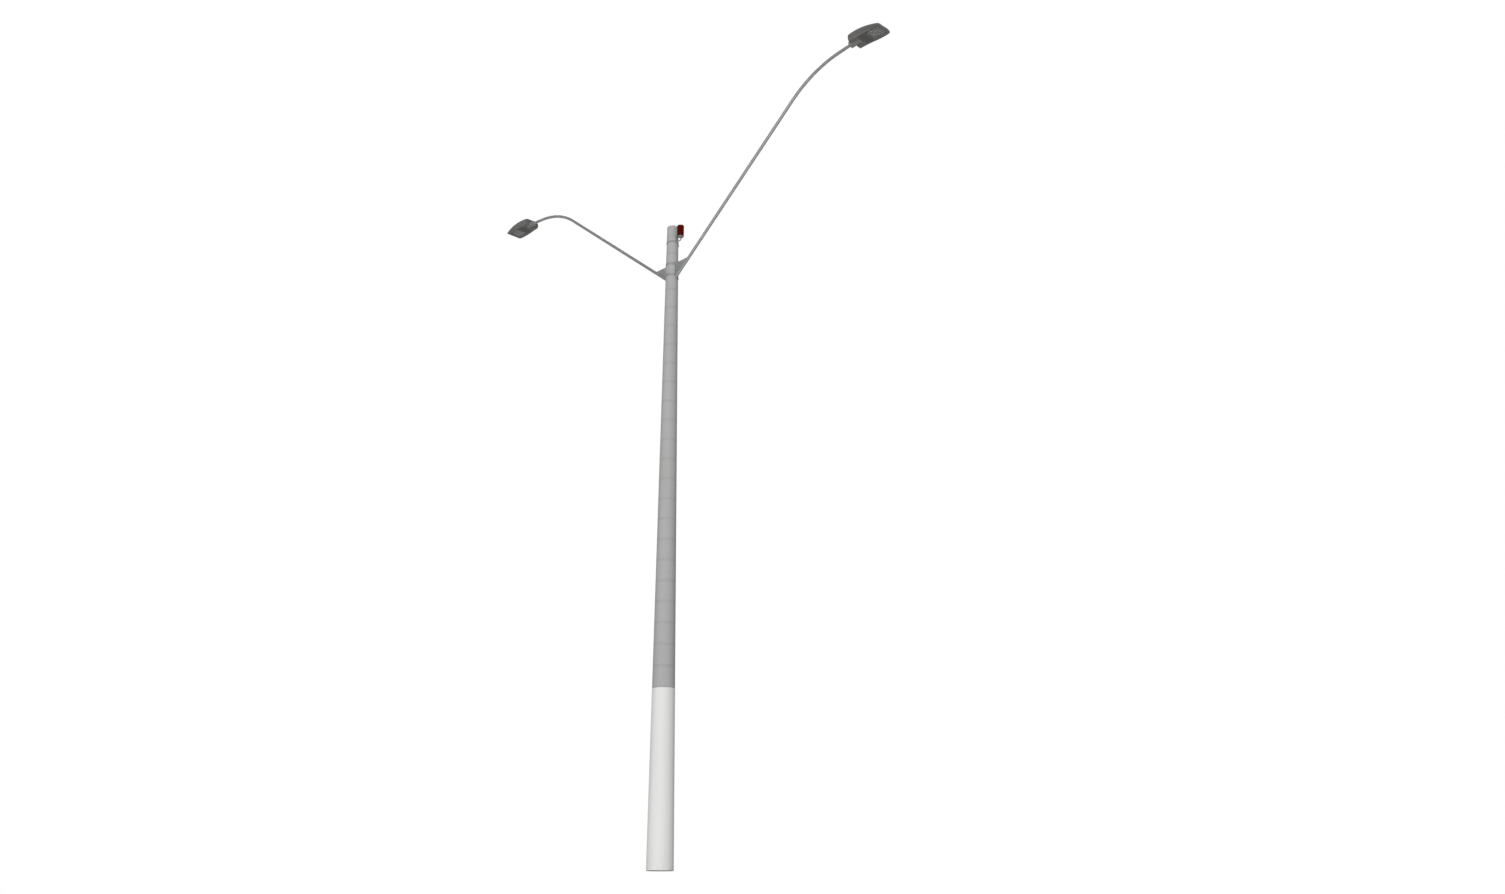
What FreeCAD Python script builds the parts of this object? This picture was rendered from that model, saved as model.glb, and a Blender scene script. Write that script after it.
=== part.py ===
import FreeCAD, Part
import math
import os

from FreeCAD import Vector

# Twin-arm street-lighting column: a tapered hollow concrete post, two opposite tube arms with
# LED road lanterns, and one red obstruction light. Millimetres, +Z up, origin at the centre of
# the post's foot, +X along the right arm, service door on the +Y side.

# What a cutter, or a joined piece, runs past the face it meets, and past a whole piece
over = 1.0
cut_over = 40.0
beyond = 300.0

# Post
post_height = 10200.0
post_foot_dia = 393.0
post_top_dia = 184.0
post_wall = 50.0
foot_bore_dia = 280.0
foot_bore_length = 200.0
paint_height = 2586.0
paint_thickness = 1.0
paint_start = 3.0
cap_lip = 6.0
cap_chamfer = 2.0
cap_skirt = 40.0
cap_skirt_wall = 3.0
cap_clearance = 0.6

# Arms
arm_tube_dia = 48.3
arm_tube_wall = 3.2
arm_rise_deg = 38.3
arm_drop = 1005.0
arm_bend_start = 2754.0
arm_bend_radius = 1836.0
arm_tip_deg = 5.5
arm_tip_length = 436.0
arm_saddle_width = 56.0
arm_saddle_thickness = 14.0
arm_saddle_below_band = 73.0
arm_saddle_above_band = 26.0
arm_saddle_corner = 18.0
gusset_thickness = 8.0
gusset_nose = 6.0

# Bands round the post
band_thickness = 5.0
band_height = 42.0
band_gap = 12.0
band_ear = 34.0
band_ear_thickness = 6.0
band_above_arm = 7.3
arm_band_spacing = 196.0
lamp_band_drop = 293.0
lamp_band_height = 32.0
band_notch_clearance = 0.5
bolt_dia = 10.0
bolt_hole_clearance = 0.5
bolt_head_flats = 17.0
bolt_head_height = 6.5
bolt_end = 3.0
washer_dia = 20.0
washer_thickness = 2.0

# Service door
door_centre_z = 750.0
door_opening_width = 100.0
door_opening_height = 300.0
door_frame_wall = 8.0
door_frame_depth = 42.0
door_facet_y = 172.0
door_flange_lap = 20.0
door_flange_thickness = 3.0
door_facet_margin = 6.0
door_thickness = 3.0
door_lap = 11.0
door_corner = 10.0
door_seal_thickness = 2.0
door_seal_width = 6.0
door_seal_inset = 1.0
door_hinge_pin_dia = 6.0
door_hinge_knuckle_dia = 12.0
door_hinge_reach = 6.0
door_hinge_spread = 110.0
door_hinge_length = 36.0
door_hinge_web = 2.0
pin_clearance = 0.05
knuckle_gap = 0.5
lock_barrel_dia = 16.0
lock_head_dia = 24.0
lock_head_height = 4.0
lock_key_size = 8.0
lock_from_edge = 20.0
lock_cam_thickness = 3.5
lock_cam_width = 12.0
lock_cam_reach = 17.0
lock_catch_depth = 6.0
lock_catch_width = 8.0
lock_catch_height = 20.0
lock_catch_gap = 0.5

# Gear behind the service door
board_face_y = 63.0
board_thickness = 3.0
board_low = 600.0
board_top = 890.0
fuse_base_width = 84.0
fuse_base_height = 110.0
fuse_base_depth = 40.0
fuse_base_low = 625.0
fuse_slot_width = 28.0
fuse_slot_height = 72.0
fuse_slot_depth = 26.0
fuse_pitch = 38.0
fuse_clearance = 0.5
fuse_grip_depth = 14.0
fuse_grip_share = 0.8
fuse_corner = 3.0
fuse_face_lip = 2.0
fuse_groove = 1.5
fuse_groove_pitch = 9.0
fuse_groove_start = 4.0
earth_stud_dia = 10.0
earth_stud_length = 26.0
earth_boss_height = 6.0
earth_stud_z = 860.0

# Feed cables, one to each lantern, held inside the post and the arms
cable_dia = 10.0
cable_offset = 25.0
cable_bend = 120.0
cable_turn = 48.0
wall_hole_dia = 36.0

# Lantern, in its own frame: origin on the tilt axis, x outwards along the arm, z up
head_rear = -100.0
head_length = 570.0
head_belly = -49.0
head_belly_half = 138.0
head_rear_half = 160.0
head_wide_half = 189.0
head_front_half = 155.0
head_rim_rear = 11.0
head_rim_front = -47.0
head_shoulder_rear = 48.0
head_shoulder_mid = 27.0
head_shoulder_front = -22.0
head_dome_rear = 72.0
head_dome_mid = 68.0
head_dome_front = -8.0
head_draft = 15.0
head_dome_share = 0.58
head_corner = 28.0
head_stations = 8
head_wall = 4.0
head_floor = 7.0
fin_floor = -14.0
fin_slot = 8.0
fin_pitch = 13.0
bay_front = 190.0

# Slip fitter between arm and lantern
fitter_length = 175.0
fitter_width = 104.0
fitter_height = 88.0
fitter_nose_dia = 92.0
fitter_edge = 28.0
fitter_tube_clearance = 0.2
fitter_tube_stop = 50.0
fitter_side_clearance = 2.0
fitter_nose_clearance = 3.0
fitter_cheek = 8.0
head_tilt_deg = 10.0
fitter_wire_hole = 14.0
tilt_bolt_dia = 12.0
tilt_head_flats = 18.0
tilt_head_height = 8.0
clamp_screw_inset = 26.0
clamp_screw_pitch = 66.0

# Gear cover under the lantern
cover_rear = 56.0
cover_front = 184.0
cover_half = 118.0
cover_thickness = 3.0
cover_gap = 0.8
cover_ledge = 14.0
cover_corner = 8.0
cover_seal_width = 4.0
cover_seal_height = 2.0
cover_seal_inset = 5.0
cover_hinge_y = 80.0
cover_hinge_length = 14.0
cover_knuckle_dia = 8.0
cover_pin_dia = 4.0
cover_lug_length = 7.0
cover_hinge_setback = 4.5
cover_swing_clearance = 0.6
latch_y = 80.0
latch_from_rear = 26.0
latch_shaft_dia = 8.0
latch_head_dia = 18.0
latch_head_height = 3.0
latch_slot = 2.5
latch_tongue_reach = 21.0
latch_tongue_width = 9.0
latch_tongue_thickness = 3.0
latch_tongue_gap = 0.4

# Optic under the lantern
optic_rear = 200.0
optic_front = 445.0
optic_half = 115.0
optic_depth = 20.0
optic_corner = 6.0
lens_thickness = 4.0
lens_fit = 0.6
lens_dome_dia = 20.0
lens_dome_rise = 4.0
lens_rows = 5
lens_columns = 9
lens_margin = 24.0
led_board_thickness = 3.0
led_size = 5.0
led_rise = 1.5

# Driver, surge protector and terminals in the lantern
driver_length = 150.0
driver_width = 62.0
driver_height = 32.0
driver_x = 104.0
driver_low = 18.0
driver_boss_dia = 12.0
driver_corner = 4.0
driver_groove_inset = 14.0
driver_groove = 2.0
surge_corner = 3.0
terminal_ways = 5
surge_box = (36.0, 46.0, 34.0)
surge_y = 78.0
terminal_box = (22.0, 70.0, 26.0)
terminal_low = -18.0

# Obstruction light
lamp_axis = 193.0
lamp_saddle_width = 40.0
lamp_saddle_thickness = 8.0
lamp_saddle_below_band = 25.0
lamp_saddle_above_band = 89.0
lamp_pipe_dia = 21.3
lamp_pipe_wall = 2.3
lamp_pipe_below_band = 3.0
lamp_pipe_belly = 40.0
lamp_pipe_bend = 20.0
lamp_base_above_band = 44.0
lamp_base_dia = 100.0
lamp_base_neck_dia = 46.0
lamp_base_neck = 12.0
lamp_base_height = 12.0
lamp_seal_thickness = 2.0
lamp_lens_dia = 112.0
lamp_lens_height = 190.0
lamp_lens_wall = 4.0
lamp_lens_shoulder = 14.0
lamp_lens_clearance = 0.3
lamp_knob_dia = 22.0
lamp_knob_height = 9.0
lamp_core_dia = 42.0
lamp_core_height = 120.0
lamp_core_stem = 20.0
lamp_led_rows = 4
lamp_led_columns = 6

origin = Vector(0, 0, 0)
up = Vector(0, 0, 1)
across = Vector(0, 1, 0)
along = Vector(1, 0, 0)


def box(x0, x1, y0, y1, z0, z1):
    return Part.makeBox(x1 - x0, y1 - y0, z1 - z0, Vector(x0, y0, z0))


def rounded_box(x0, x1, y0, y1, z0, z1, radius, axis):
    """A box whose four edges along the given axis are rounded."""
    solid = box(x0, x1, y0, y1, z0, z1)
    edges = [e for e in solid.Edges if abs(e.tangentAt(e.FirstParameter).dot(axis)) > 0.9]
    return solid.makeFillet(radius, edges)


def prism(points, y0, y1):
    """An outline in the X-Z plane, carried along Y."""
    wire = Part.makePolygon([Vector(x, y0, z) for x, z in points + points[:1]])
    return Part.Face(wire).extrude(Vector(0, y1 - y0, 0))


def hexagon(flats, height, base, axis):
    """A hexagonal nut or bolt head standing on base, along axis."""
    corner = flats / math.sqrt(3)
    points = [Vector(corner * math.cos(math.radians(60 * i)),
                     corner * math.sin(math.radians(60 * i)), 0) for i in range(7)]
    solid = Part.Face(Part.makePolygon(points)).extrude(Vector(0, 0, height))
    return solid.transformGeometry(
        FreeCAD.Placement(base, FreeCAD.Rotation(up, axis)).toMatrix())


def route(points, radii):
    """Straight runs joined by tangent arcs, one radius for each inner point."""
    edges = []
    start = points[0]
    for before, corner, after, radius in zip(points, points[1:], points[2:], radii):
        into = (corner - before).normalize()
        out = (after - corner).normalize()
        turn = into.getAngle(out)
        setback = radius * math.tan(turn / 2)
        first = corner - into * setback
        last = corner + out * setback
        inward = (out - into).normalize()
        middle = corner + inward * (radius / math.cos(turn / 2) - radius)
        edges.append(Part.LineSegment(start, first).toShape())
        edges.append(Part.Arc(first, middle, last).toShape())
        start = last
    edges.append(Part.LineSegment(start, points[-1]).toShape())
    return Part.Wire(edges)


def pipe(wire, radius):
    """A round bar carried along a wire."""
    edge = wire.OrderedEdges[0]
    start = edge.valueAt(edge.FirstParameter)
    ring = Part.Wire(Part.makeCircle(radius, start, edge.tangentAt(edge.FirstParameter)))
    return wire.makePipeShell([ring], True, True)


def slab_ring(x0, x1, y0, y1, z0, z1, width):
    """A flat rectangular frame."""
    return box(x0, x1, y0, y1, z0, z1).cut(
        box(x0 + width, x1 - width, y0 + width, y1 - width, z0 - over, z1 + over))


def save(name, shape):
    shape.exportStep("parts/" + name + ".step")


def save_pair(name, shape):
    """The right-hand piece as drawn, and the left-hand one half a turn round the post."""
    save("right_" + name, shape)
    left = shape.copy()
    left.rotate(origin, up, 180)
    save("left_" + name, left)


# Post

def post_radius(z):
    return (post_foot_dia - (post_foot_dia - post_top_dia) * z / post_height) / 2


def post_envelope(low, high, extra):
    """The post's tapered surface between two heights, moved out by extra."""
    return Part.makeCone(post_radius(low) + extra, post_radius(high) + extra, high - low,
                         Vector(0, 0, low))


def arm_slope():
    return math.tan(math.radians(arm_rise_deg))


arm_axis_at_post = post_height - arm_drop
band_face = post_radius(arm_axis_at_post) + band_thickness
lower_band_z = arm_axis_at_post + band_face * arm_slope() + band_above_arm + band_height / 2
upper_band_z = lower_band_z + arm_band_spacing
arm_saddle_low = lower_band_z - arm_saddle_below_band
arm_saddle_top = upper_band_z + arm_saddle_above_band
lamp_band_z = post_height - lamp_band_drop
lamp_saddle_low = lamp_band_z - lamp_saddle_below_band
lamp_saddle_top = lamp_band_z + lamp_saddle_above_band
lamp_pipe_foot_z = lamp_band_z - lamp_pipe_below_band
lamp_base_low = lamp_band_z + lamp_base_above_band
concrete_top = post_height - cap_lip
door_low = door_centre_z - door_opening_height / 2
door_high = door_centre_z + door_opening_height / 2
door_side = door_opening_width / 2


def door_facet(margin):
    """The flat cut on the post that the door frame's flange sits on."""
    reach = door_flange_lap + margin
    return box(-post_foot_dia, post_foot_dia, door_facet_y, post_foot_dia,
               door_low - reach, door_high + reach)


def arm_point(x):
    """A point on the straight part of the arm's axis."""
    return Vector(x, 0, arm_axis_at_post + x * arm_slope())


def arm_direction():
    return Vector(math.cos(math.radians(arm_rise_deg)), 0, math.sin(math.radians(arm_rise_deg)))


def wall_hole(dia):
    """The slanting cable hole through the post's wall, on the arm's axis."""
    start = arm_point(post_radius(arm_axis_at_post) - post_wall - cut_over)
    return Part.makeCylinder(dia / 2, 2 * (post_wall + cut_over), start, arm_direction())


def concrete_post():
    solid = post_envelope(0, concrete_top, 0)
    bore = Part.makeCone(post_radius(foot_bore_length) - post_wall,
                         post_radius(concrete_top) - post_wall,
                         concrete_top - foot_bore_length, Vector(0, 0, foot_bore_length))
    foot = Part.makeCylinder(foot_bore_dia / 2, foot_bore_length + over, Vector(0, 0, -over))
    opening = box(-door_side - door_frame_wall, door_side + door_frame_wall, 0, post_foot_dia,
                  door_low - door_frame_wall, door_high + door_frame_wall)
    solid = solid.cut([bore, foot, opening, door_facet(door_facet_margin)])
    right = wall_hole(wall_hole_dia)
    left = right.copy()
    left.rotate(origin, up, 180)
    lead_start = post_radius(lamp_pipe_foot_z) - post_wall - cut_over
    lead = Part.makeCylinder(lamp_pipe_dia / 2 - lamp_pipe_wall, post_wall + 2 * cut_over,
                             Vector(lead_start, 0, lamp_pipe_foot_z), along)
    return solid.cut([right, left, lead])


def paint_coat():
    outer = post_envelope(paint_start, paint_height, paint_thickness)
    coat = outer.cut(post_envelope(paint_start - over, paint_height + over, 0))
    return coat.cut(door_facet(door_facet_margin))


def top_cap():
    radius = post_radius(concrete_top)
    lip = Part.makeCylinder(radius, cap_lip - cap_chamfer, Vector(0, 0, concrete_top))
    crown = Part.makeCone(radius, radius - cap_chamfer, cap_chamfer,
                          Vector(0, 0, post_height - cap_chamfer))
    skirt_radius = radius - post_wall - cap_clearance
    low = concrete_top - cap_skirt
    skirt = Part.makeCylinder(skirt_radius, cap_skirt, Vector(0, 0, low)).cut(
        Part.makeCylinder(skirt_radius - cap_skirt_wall, cap_skirt, Vector(0, 0, low)))
    return lip.fuse([crown, skirt]).removeSplitter()


# Bands and their bolts

def band(z, height):
    """A steel strap round the tapered post, split at the back, with two bolted ears."""
    low = z - height / 2
    high = z + height / 2
    ring = post_envelope(low, high, band_thickness)
    ring = ring.cut(post_envelope(low - over, high + over, 0))
    ring = ring.cut(box(-band_gap / 2, band_gap / 2, 0, post_foot_dia, low - over, high + over))
    face = post_radius(z)
    ears = []
    for x0 in (band_gap / 2, -band_gap / 2 - band_ear_thickness):
        ears.append(box(x0, x0 + band_ear_thickness, face + over, face + band_ear, low, high))
    solid = ring.fuse(ears).removeSplitter()
    return solid.cut(Part.makeCylinder(bolt_dia / 2 + bolt_hole_clearance, post_foot_dia,
                                       Vector(-post_foot_dia / 2, band_bolt_y(z), z), along))


def band_bolt_y(z):
    return post_radius(z) + band_thickness + (band_ear - band_thickness) / 2


def band_bolt(z):
    """A hexagon bolt through the two ears, with its washers and nut."""
    y = band_bolt_y(z)
    outside = band_gap / 2 + band_ear_thickness
    bearing = outside + washer_thickness
    shank = Part.makeCylinder(bolt_dia / 2, 2 * bearing + bolt_dia,
                              Vector(-bearing, y, z), along)
    head = hexagon(bolt_head_flats, bolt_head_height, Vector(-bearing, y, z), along * -1)
    pieces = [shank.fuse(head).removeSplitter()]
    for x in (-bearing, outside):
        washer = Part.makeCylinder(washer_dia / 2, washer_thickness, Vector(x, y, z), along)
        pieces.append(washer.cut(Part.makeCylinder(bolt_dia / 2, washer_thickness,
                                                   Vector(x, y, z), along)))
    nut = hexagon(bolt_head_flats, bolt_head_height, Vector(bearing, y, z), along)
    pieces.append(nut.cut(Part.makeCylinder(bolt_dia / 2, bolt_head_height,
                                            Vector(bearing, y, z), along)))
    return pieces


def band_bolts():
    pieces = []
    for z in (upper_band_z, lower_band_z, lamp_band_z):
        pieces += band_bolt(z)
    return Part.makeCompound(pieces)


def band_notch(z, height):
    """The room that a saddle leaves for the strap that passes under it."""
    low = z - height / 2 - band_notch_clearance
    high = z + height / 2 + band_notch_clearance
    return post_envelope(low, high, band_thickness + band_notch_clearance)


# Arms

saddle_face = post_radius(arm_saddle_low) + arm_saddle_thickness


def arm_saddle():
    half = arm_saddle_width / 2
    solid = box(post_radius(arm_saddle_low) - post_wall, saddle_face, -half, half,
                arm_saddle_low, arm_saddle_top)
    solid = solid.cut([post_envelope(arm_saddle_low - over, arm_saddle_top + over, 0),
                       band_notch(upper_band_z, band_height),
                       band_notch(lower_band_z, band_height)])
    corners = []
    for side in (-1, 1):
        wire = Part.makePolygon([Vector(0, side * half, arm_saddle_low),
                                 Vector(0, side * (half - arm_saddle_corner), arm_saddle_low),
                                 Vector(0, side * half, arm_saddle_low + 2 * arm_saddle_corner),
                                 Vector(0, side * half, arm_saddle_low)])
        corners.append(Part.Face(wire).extrude(Vector(2 * saddle_face, 0, 0)))
    return solid.cut(corners + [wall_hole(wall_hole_dia)])


def arm_route():
    """The arm's axis: a straight rise, one long bend, and a nearly level tip."""
    start = arm_point(post_radius(arm_saddle_low))
    rise = math.radians(arm_rise_deg)
    tip = math.radians(arm_tip_deg)
    bend_start = arm_point(arm_bend_start)
    setback = arm_bend_radius * math.tan((rise - tip) / 2)
    corner = bend_start + arm_direction() * setback
    tip_way = Vector(math.cos(tip), 0, math.sin(tip))
    return start, corner, corner + tip_way * (setback + arm_tip_length)


tilt_axis = arm_route()[2]


def arm_tube():
    start, corner, end = arm_route()
    tip_way = (end - corner).normalize()
    stop = end - tip_way * fitter_tube_stop
    wire = route([start, corner, stop], [arm_bend_radius])
    outer = pipe(wire, arm_tube_dia / 2)
    inner = pipe(wire, arm_tube_dia / 2 - arm_tube_wall)
    mitre = box(0, saddle_face, -arm_tube_dia, arm_tube_dia, arm_axis_at_post - post_wall,
                arm_saddle_top)
    return outer.cut([inner, mitre])


def gusset():
    """The triangular web above the tube, between the saddle and the tube."""
    rise = arm_tube_dia / 2 / math.cos(math.radians(arm_rise_deg))
    top = arm_saddle_top - band_notch_clearance
    tip = (top - arm_axis_at_post - rise) / arm_slope()
    half = gusset_thickness / 2
    web = prism([(saddle_face, arm_point(saddle_face).z), (saddle_face, top), (tip, top),
                 (tip + gusset_nose, top - gusset_nose),
                 (tip + gusset_nose, arm_point(tip + gusset_nose).z)], -half, half)
    tube = Part.makeCylinder(arm_tube_dia / 2, 2 * tip, arm_point(0), arm_direction())
    return web.cut(tube)


def feed_cable():
    """The lead from the fuse unit, up inside the post and along the arm to the slip fitter."""
    start, corner, end = arm_route()
    tip_way = (end - corner).normalize()
    first_y = board_face_y + fuse_base_depth / 2
    low = fuse_base_low + fuse_base_height
    points = [Vector(cable_offset, first_y, low),
              Vector(cable_offset, first_y, low + 2 * cable_bend),
              Vector(cable_offset, 0, low + 7 * cable_bend),
              arm_point(cable_offset), corner, end - tip_way * fitter_tube_stop]
    return pipe(route(points, [cable_bend * 2, cable_bend * 2, cable_turn, arm_bend_radius]),
                cable_dia / 2)


# Service door

flange_front = door_facet_y + door_flange_thickness
door_back = flange_front + door_seal_thickness
door_front = door_back + door_thickness
door_half_width = door_side + door_lap
door_half_height = door_opening_height / 2 + door_lap
hinge_x = -door_half_width - door_hinge_reach
hinge_y = flange_front + door_hinge_knuckle_dia / 2 + knuckle_gap
lock_x = door_side - lock_from_edge
catch_front = door_facet_y - lock_catch_depth
cam_front = catch_front - lock_catch_depth - lock_catch_gap


def plate_y(half_width, half_height, y0, y1, radius):
    return rounded_box(-half_width, half_width, y0, y1, door_centre_z - half_height,
                       door_centre_z + half_height, radius, across)


def hinge_barrel(z0, z1, bore):
    tube = Part.makeCylinder(door_hinge_knuckle_dia / 2, z1 - z0, Vector(hinge_x, hinge_y, z0))
    return tube.cut(Part.makeCylinder(bore / 2, z1 - z0, Vector(hinge_x, hinge_y, z0)))


def hinge_stations():
    return (door_centre_z - door_hinge_spread, door_centre_z + door_hinge_spread)


def door_frame():
    """The cast-in steel frame: a sleeve through the wall, a flange, hinge lugs and a catch."""
    sleeve = plate_y(door_side + door_frame_wall, door_opening_height / 2 + door_frame_wall,
                     door_facet_y - door_frame_depth, door_facet_y, door_corner)
    flange = plate_y(door_side + door_flange_lap, door_opening_height / 2 + door_flange_lap,
                     door_facet_y, flange_front, door_corner)
    hole = plate_y(door_side, door_opening_height / 2, 0, post_foot_dia, door_corner / 2)
    solid = sleeve.fuse(flange).cut(hole)
    catch = box(door_side - lock_catch_width, door_side + over, catch_front - lock_catch_depth,
                catch_front, door_centre_z - lock_catch_height / 2,
                door_centre_z + lock_catch_height / 2)
    pieces = [catch]
    third = door_hinge_length / 3
    for z in hinge_stations():
        for z0 in (z - 1.5 * third, z + 0.5 * third):
            foot = box(hinge_x - door_hinge_web, hinge_x + door_hinge_web, flange_front - over,
                       hinge_y, z0, z0 + third)
            foot = foot.cut(Part.makeCylinder(door_hinge_pin_dia / 2, third,
                                              Vector(hinge_x, hinge_y, z0)))
            pieces += [hinge_barrel(z0, z0 + third, door_hinge_pin_dia), foot]
    return solid.fuse(pieces).removeSplitter()


def service_door():
    plate = plate_y(door_half_width, door_half_height, door_back, door_front, door_corner)
    third = door_hinge_length / 3 - 2 * knuckle_gap
    bore = door_hinge_pin_dia + 2 * pin_clearance
    knuckles = []
    for z in hinge_stations():
        web = box(hinge_x, -door_half_width + over, door_back, door_front, z - third / 2,
                  z + third / 2)
        web = web.cut(Part.makeCylinder(bore / 2, third, Vector(hinge_x, hinge_y, z - third / 2)))
        knuckles += [hinge_barrel(z - third / 2, z + third / 2, bore), web]
    solid = plate.fuse(knuckles).removeSplitter()
    return solid.cut(Part.makeCylinder(lock_barrel_dia / 2 + pin_clearance, 4 * door_thickness,
                                       Vector(lock_x, door_back - door_thickness,
                                              door_centre_z), across))


def door_hinge_pins():
    pins = []
    for z in hinge_stations():
        low = z - door_hinge_length / 2
        pins.append(Part.makeCylinder(door_hinge_pin_dia / 2, door_hinge_length + 2 * over,
                                      Vector(hinge_x, hinge_y, low - over)))
    return Part.makeCompound(pins)


def door_seal():
    half_width = door_half_width - door_seal_inset
    half_height = door_half_height - door_seal_inset
    outer = plate_y(half_width, half_height, flange_front, door_back,
                    door_corner - door_seal_inset)
    inner = plate_y(half_width - door_seal_width, half_height - door_seal_width,
                    flange_front - over, door_back + over, door_corner / 2)
    return outer.cut(inner)


def door_lock():
    """A quarter-turn lock: head with a triangular key, barrel, and the cam behind the frame."""
    head = Part.makeCylinder(lock_head_dia / 2, lock_head_height,
                             Vector(lock_x, door_front + pin_clearance, door_centre_z), across)
    cam_back = cam_front - lock_cam_thickness
    barrel = Part.makeCylinder(lock_barrel_dia / 2, door_front - cam_back + over,
                               Vector(lock_x, cam_back, door_centre_z), across)
    cam = rounded_box(lock_x - lock_cam_width / 2, lock_x + lock_cam_reach,
                      cam_back, cam_front,
                      door_centre_z - lock_cam_width / 2, door_centre_z + lock_cam_width / 2,
                      lock_cam_width / 4, across)
    reach = lock_key_size / 1.5
    key = [Vector(lock_x + reach * math.sin(math.radians(120 * i)), door_front + over,
                  door_centre_z + reach * math.cos(math.radians(120 * i))) for i in range(4)]
    recess = Part.Face(Part.makePolygon(key)).extrude(Vector(0, lock_head_height + over, 0))
    return head.fuse([barrel, cam]).removeSplitter().cut(recess)


# Gear behind the door

def fuse_board():
    """A steel channel behind the fuse unit, its sides welded to the back of the door frame."""
    half = door_side + board_thickness
    back = box(-half, half, board_face_y - board_thickness, board_face_y, board_low, board_top)
    sides = []
    for x in (-half, half - board_thickness):
        sides.append(box(x, x + board_thickness, board_face_y - board_thickness,
                         door_facet_y - door_frame_depth, board_low, board_top))
    return back.fuse(sides).removeSplitter()


def fuse_x():
    return (-fuse_pitch / 2, fuse_pitch / 2)


def fuse_middle():
    return fuse_base_low + fuse_base_height / 2


def fuse_unit():
    front = board_face_y + fuse_base_depth
    solid = rounded_box(-fuse_base_width / 2, fuse_base_width / 2, board_face_y, front,
                        fuse_base_low, fuse_base_low + fuse_base_height, fuse_corner, across)
    slots = []
    for x in fuse_x():
        slots.append(box(x - fuse_slot_width / 2, x + fuse_slot_width / 2,
                         front - fuse_slot_depth, front + over,
                         fuse_middle() - fuse_slot_height / 2,
                         fuse_middle() + fuse_slot_height / 2))
    return solid.cut(slots)


def fuse_carrier(x):
    """A pull-out carrier: the body that fills the slot, and a ribbed finger grip."""
    half = fuse_slot_width / 2 - fuse_clearance
    tall = fuse_slot_height / 2 - fuse_clearance
    front = board_face_y + fuse_base_depth
    body = box(x - half, x + half, front - fuse_slot_depth + fuse_clearance,
               front + fuse_face_lip, fuse_middle() - tall, fuse_middle() + tall)
    grip_tall = tall * fuse_grip_share
    grip = rounded_box(x - half / 2, x + half / 2, front + over, front + fuse_grip_depth,
                       fuse_middle() - grip_tall, fuse_middle() + grip_tall, fuse_corner, along)
    grooves = []
    for side in (-1, 1):
        for step in range(-2, 3):
            z = fuse_middle() + step * fuse_groove_pitch
            edge = x + side * half / 2
            grooves.append(box(edge - over, edge + over, front + fuse_groove_start,
                               front + fuse_grip_depth + over, z - fuse_groove,
                               z + fuse_groove))
    return body.fuse(grip).removeSplitter().cut(grooves)


def earth_stud():
    """A threaded stud on a welded boss, for the earthing lead's ring terminal."""
    base = Vector(0, board_face_y, earth_stud_z)
    boss = Part.makeCylinder(earth_stud_dia, earth_boss_height, base, across)
    stud = Part.makeCylinder(earth_stud_dia / 2, earth_stud_length,
                             base + across * earth_boss_height, across)
    return boss.fuse(stud).removeSplitter()


# Lantern housing

def head_bow(share, rear, middle, front):
    """A smooth curve through three values at the rear, the middle and the front."""
    bend = 2 * rear - 4 * middle + 2 * front
    return rear + (front - rear - bend) * share + bend * share * share


def head_half(share):
    return head_bow(share, head_rear_half, head_wide_half, head_front_half)


def head_dome(share):
    return head_bow(share, head_dome_rear, head_dome_mid, head_dome_front)


def head_section(share, inset, floor):
    """The lantern's cross-section at a share of its length, drawn in by inset."""
    x = head_rear + head_length * share
    half = head_half(share)
    rim = head_rim_rear + (head_rim_front - head_rim_rear) * share
    shoulder = head_bow(share, head_shoulder_rear, head_shoulder_mid, head_shoulder_front)
    dome = head_dome(share)
    crown = half * head_dome_share
    outline = [(head_belly_half - inset, head_belly + floor), (half - inset, rim + floor / 3),
               (half - head_draft - inset, shoulder - inset / 2), (crown - inset, dome - inset)]
    points = [Vector(x, y, z) for y, z in outline]
    points += [Vector(x, -y, z) for y, z in reversed(outline)]
    return Part.makePolygon(points + points[:1])


def head_loft(inset, floor):
    sections = [head_section(i / head_stations, inset, floor) for i in range(head_stations + 1)]
    return Part.makeLoft(sections, True, True)


def head_corner_cutters(inset):
    """What is taken off the four corners of the plan to round them, for a shell drawn in."""
    cutters = []
    share = head_corner / head_length
    reach = 2 * head_corner
    for x, way, half in ((head_rear, 1, head_half(share)),
                         (head_rear + head_length, -1, head_half(1 - share))):
        for side in (-1, 1):
            centre = Vector(x + way * head_corner, side * (half - head_corner), -reach * 2)
            x0, x1 = sorted((centre.x, centre.x - way * reach))
            y0, y1 = sorted((centre.y, centre.y + side * reach))
            cutters.append(box(x0, x1, y0, y1, -reach * 2, reach * 2).cut(
                Part.makeCylinder(head_corner - inset, 4 * reach, centre)))
    return cutters


def fitter_pocket():
    """The room in the lantern that the slip fitter swings in."""
    half = fitter_width / 2 + fitter_side_clearance
    radius = fitter_nose_dia / 2 + fitter_nose_clearance
    rear = head_rear - cut_over
    floor = head_belly - cut_over
    high = fitter_height / 2 + fitter_side_clearance
    lift = high - rear * math.tan(math.radians(head_tilt_deg - arm_tip_deg))
    swing = prism([(0, floor), (0, high), (rear, lift), (rear, floor)], -half, half)
    below = box(-over, radius, -half, half, floor, 0)
    nose = Part.makeCylinder(radius, 2 * half, Vector(0, -half, 0), across)
    return swing.fuse([below, nose])


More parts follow.
